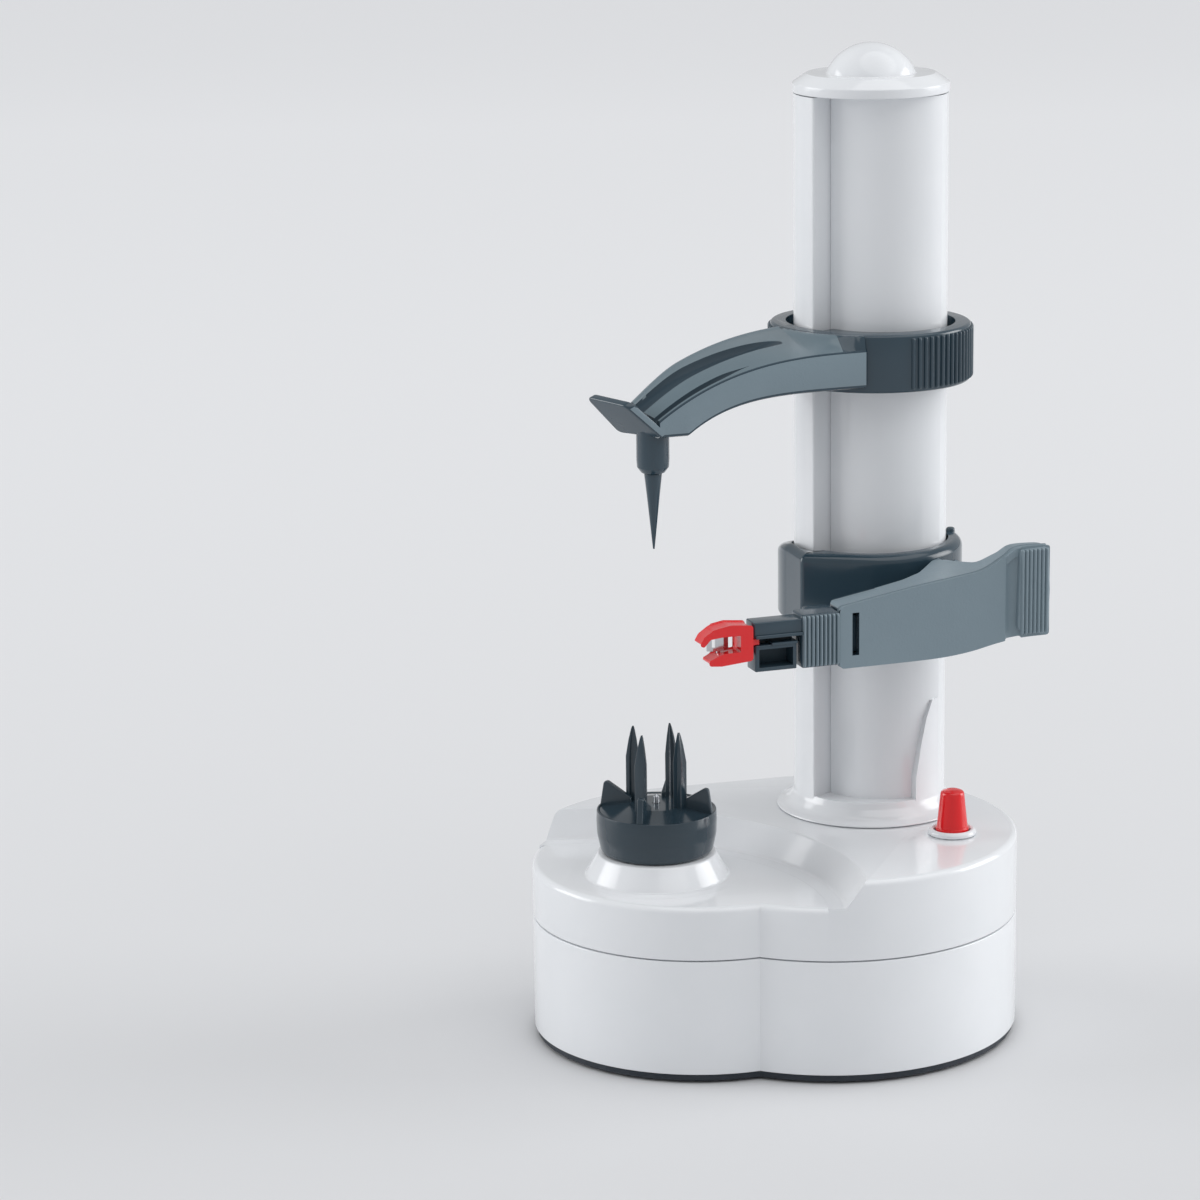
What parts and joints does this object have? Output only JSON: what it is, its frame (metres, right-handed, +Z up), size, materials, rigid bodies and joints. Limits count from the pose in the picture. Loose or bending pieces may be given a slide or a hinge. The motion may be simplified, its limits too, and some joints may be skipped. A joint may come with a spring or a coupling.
{
  "type": "electric fruit and vegetable peeler",
  "caption": "Upright battery peeler: a two-lobed base with a turning fruit holder, a round column, a sliding spike arm and a sprung blade arm driven by a leadscrew.",
  "frame": {"origin": "bottom centre of the bounding box, on the table plane under the feet", "axes": "+Z up the column; +Y to the rear, +X to the right as the button's side faces the viewer"},
  "size_m": [0.1514, 0.1114, 0.29],
  "materials": {
    "white_plastic": "gloss",
    "arm_plastic": "satin gloss",
    "holder_plastic": "gloss",
    "red_plastic": "gloss",
    "base_plate": "fine matt grain",
    "foot_rubber": "matt",
    "cell_sleeve": "printed film, plain bands",
    "spring_steel": "plain",
    "shaft_steel": "turned",
    "blade_steel": "ground",
    "chassis_steel": "zinc coated",
    "motor_steel": "plain",
    "brass": "satin",
    "gear_nylon": "moulded",
    "switch_black": "moulded"
  },
  "bodies": {
    "base": {"upper_housing": "white_plastic", "lower_housing": "white_plastic", "bottom_plate": "base_plate", "battery_1": "cell_sleeve", "battery_2": "cell_sleeve", "battery_3": "cell_sleeve", "battery_4": "cell_sleeve", "contact_strip_front": "spring_steel", "contact_strip_rear": "spring_steel", "rubber_foot_1": "foot_rubber", "rubber_foot_2": "foot_rubber", "rubber_foot_3": "foot_rubber", "rubber_foot_4": "foot_rubber", "housing_screw_1": "shaft_steel", "housing_screw_2": "shaft_steel", "housing_screw_3": "shaft_steel", "housing_screw_4": "shaft_steel", "gear_chassis": "chassis_steel", "motor": "motor_steel", "gear_axle_1": "shaft_steel", "gear_axle_2": "shaft_steel", "idler_axle_1": "shaft_steel", "idler_axle_2": "shaft_steel", "spindle_bush": "brass", "switch_body": "switch_black", "switch_bezel": "white_plastic", "switch_spring": "spring_steel", "column": "white_plastic", "column_cap": "white_plastic", "screw_bearing": "brass", "screw_top_bush": "brass"},
    "battery_door": {"battery_door": "base_plate"},
    "turntable": {"turntable_gear": "gear_nylon", "turntable_spindle": "shaft_steel", "fruit_holder": "holder_plastic", "centre_pin": "shaft_steel"},
    "motor_shaft": {"motor_pinion": "brass"},
    "reduction_gear_1": {"reduction_gear_1": "gear_nylon"},
    "reduction_gear_2": {"reduction_gear_2": "gear_nylon"},
    "idler_gear_1": {"idler_gear_1": "gear_nylon"},
    "idler_gear_2": {"idler_gear_2": "gear_nylon"},
    "screw": {"leadscrew": "shaft_steel", "screw_gear": "gear_nylon"},
    "switch_button": {"switch_button": "red_plastic"},
    "upper_arm": {"upper_arm": "arm_plastic"},
    "spike": {"spike": "arm_plastic", "spike_washer": "spring_steel"},
    "carriage": {"half_nut": "brass"},
    "blade_arm": {"blade_arm": "arm_plastic"},
    "carrier": {"blade_carrier": "arm_plastic", "blade_head": "red_plastic"},
    "blade": {"peeling_blade": "blade_steel"}
  },
  "joints": [
    {"name": "turntable_spin", "type": "hinge", "parent": "base", "child": "turntable", "pos_m": [-0.03889, -0.0188, 0], "axis": [0, 0, 1], "continuous": true},
    {"name": "reduction_gear_2_spin", "type": "hinge", "parent": "base", "child": "reduction_gear_2", "pos_m": [-0.04307, 0.00495, 0], "axis": [0, 0, 1], "continuous": true},
    {"name": "reduction_gear_1_spin", "type": "hinge", "parent": "base", "child": "reduction_gear_1", "pos_m": [-0.03014, 0.02037, 0], "axis": [0, 0, 1], "continuous": true},
    {"name": "motor_spin", "type": "hinge", "parent": "base", "child": "motor_shaft", "pos_m": [-0.04826, 0.02037, 0], "axis": [0, 0, 1], "continuous": true},
    {"name": "idler_1_spin", "type": "hinge", "parent": "base", "child": "idler_gear_1", "pos_m": [-0.01598, 0.00256, 0], "axis": [0, 0, 1], "continuous": true},
    {"name": "idler_2_spin", "type": "hinge", "parent": "base", "child": "idler_gear_2", "pos_m": [0.00771, 0.01447, 0], "axis": [0, 0, 1], "continuous": true},
    {"name": "screw_spin", "type": "hinge", "parent": "base", "child": "screw", "pos_m": [0.02605, 0.02369, 0], "axis": [0, 0, 1], "continuous": true},
    {"name": "upper_arm_slide", "type": "slide", "parent": "base", "child": "upper_arm", "axis": [0, 0, 1], "range_m": [-0.04, 0.06]},
    {"name": "spike_spin", "type": "hinge", "parent": "upper_arm", "child": "spike", "pos_m": [-0.03889, -0.0188, 0.166], "axis": [0, 0, 1], "continuous": true},
    {"name": "carriage_slide", "type": "slide", "parent": "base", "child": "carriage", "axis": [0, 0, 1], "range_m": [-0.044, 0.04]},
    {"name": "blade_arm_swing", "type": "hinge", "parent": "carriage", "child": "blade_arm", "pos_m": [0.02605, 0.02369, 0.131], "axis": [0, 0, 1], "range_deg": [-8, 16], "stiffness_Nm_per_rad": 0.15},
    {"name": "carrier_pull", "type": "slide", "parent": "blade_arm", "child": "carrier", "axis": [-0.9455, -0.3256, 0], "range_m": [0, 0.009]},
    {"name": "blade_swivel", "type": "hinge", "parent": "carrier", "child": "blade", "pos_m": [-0.02148, -0.04407, 0.1286], "axis": [0, 0, 1], "range_deg": [-10, 10]},
    {"name": "switch_press", "type": "slide", "parent": "base", "child": "switch_button", "axis": [0, 0, -1], "range_m": [0, 0.003], "stiffness_N_per_m": 600, "springref_m": -0.001, "deforming": ["switch_spring"]},
    {"name": "battery_door_hinge", "type": "hinge", "parent": "base", "child": "battery_door", "pos_m": [0.01212, -0.03165, 0.0006], "axis": [-1, 0, 0], "range_deg": [0, 90]}
  ],
  "couplings": [
    {"joint": "reduction_gear_2_spin", "follows": "turntable_spin", "ratio": -3},
    {"joint": "reduction_gear_1_spin", "follows": "turntable_spin", "ratio": 9},
    {"joint": "motor_spin", "follows": "turntable_spin", "ratio": -27},
    {"joint": "idler_1_spin", "follows": "turntable_spin", "ratio": -1.3636},
    {"joint": "idler_2_spin", "follows": "turntable_spin", "ratio": 1.3636},
    {"joint": "screw_spin", "follows": "turntable_spin", "ratio": -2.5}
  ]
}
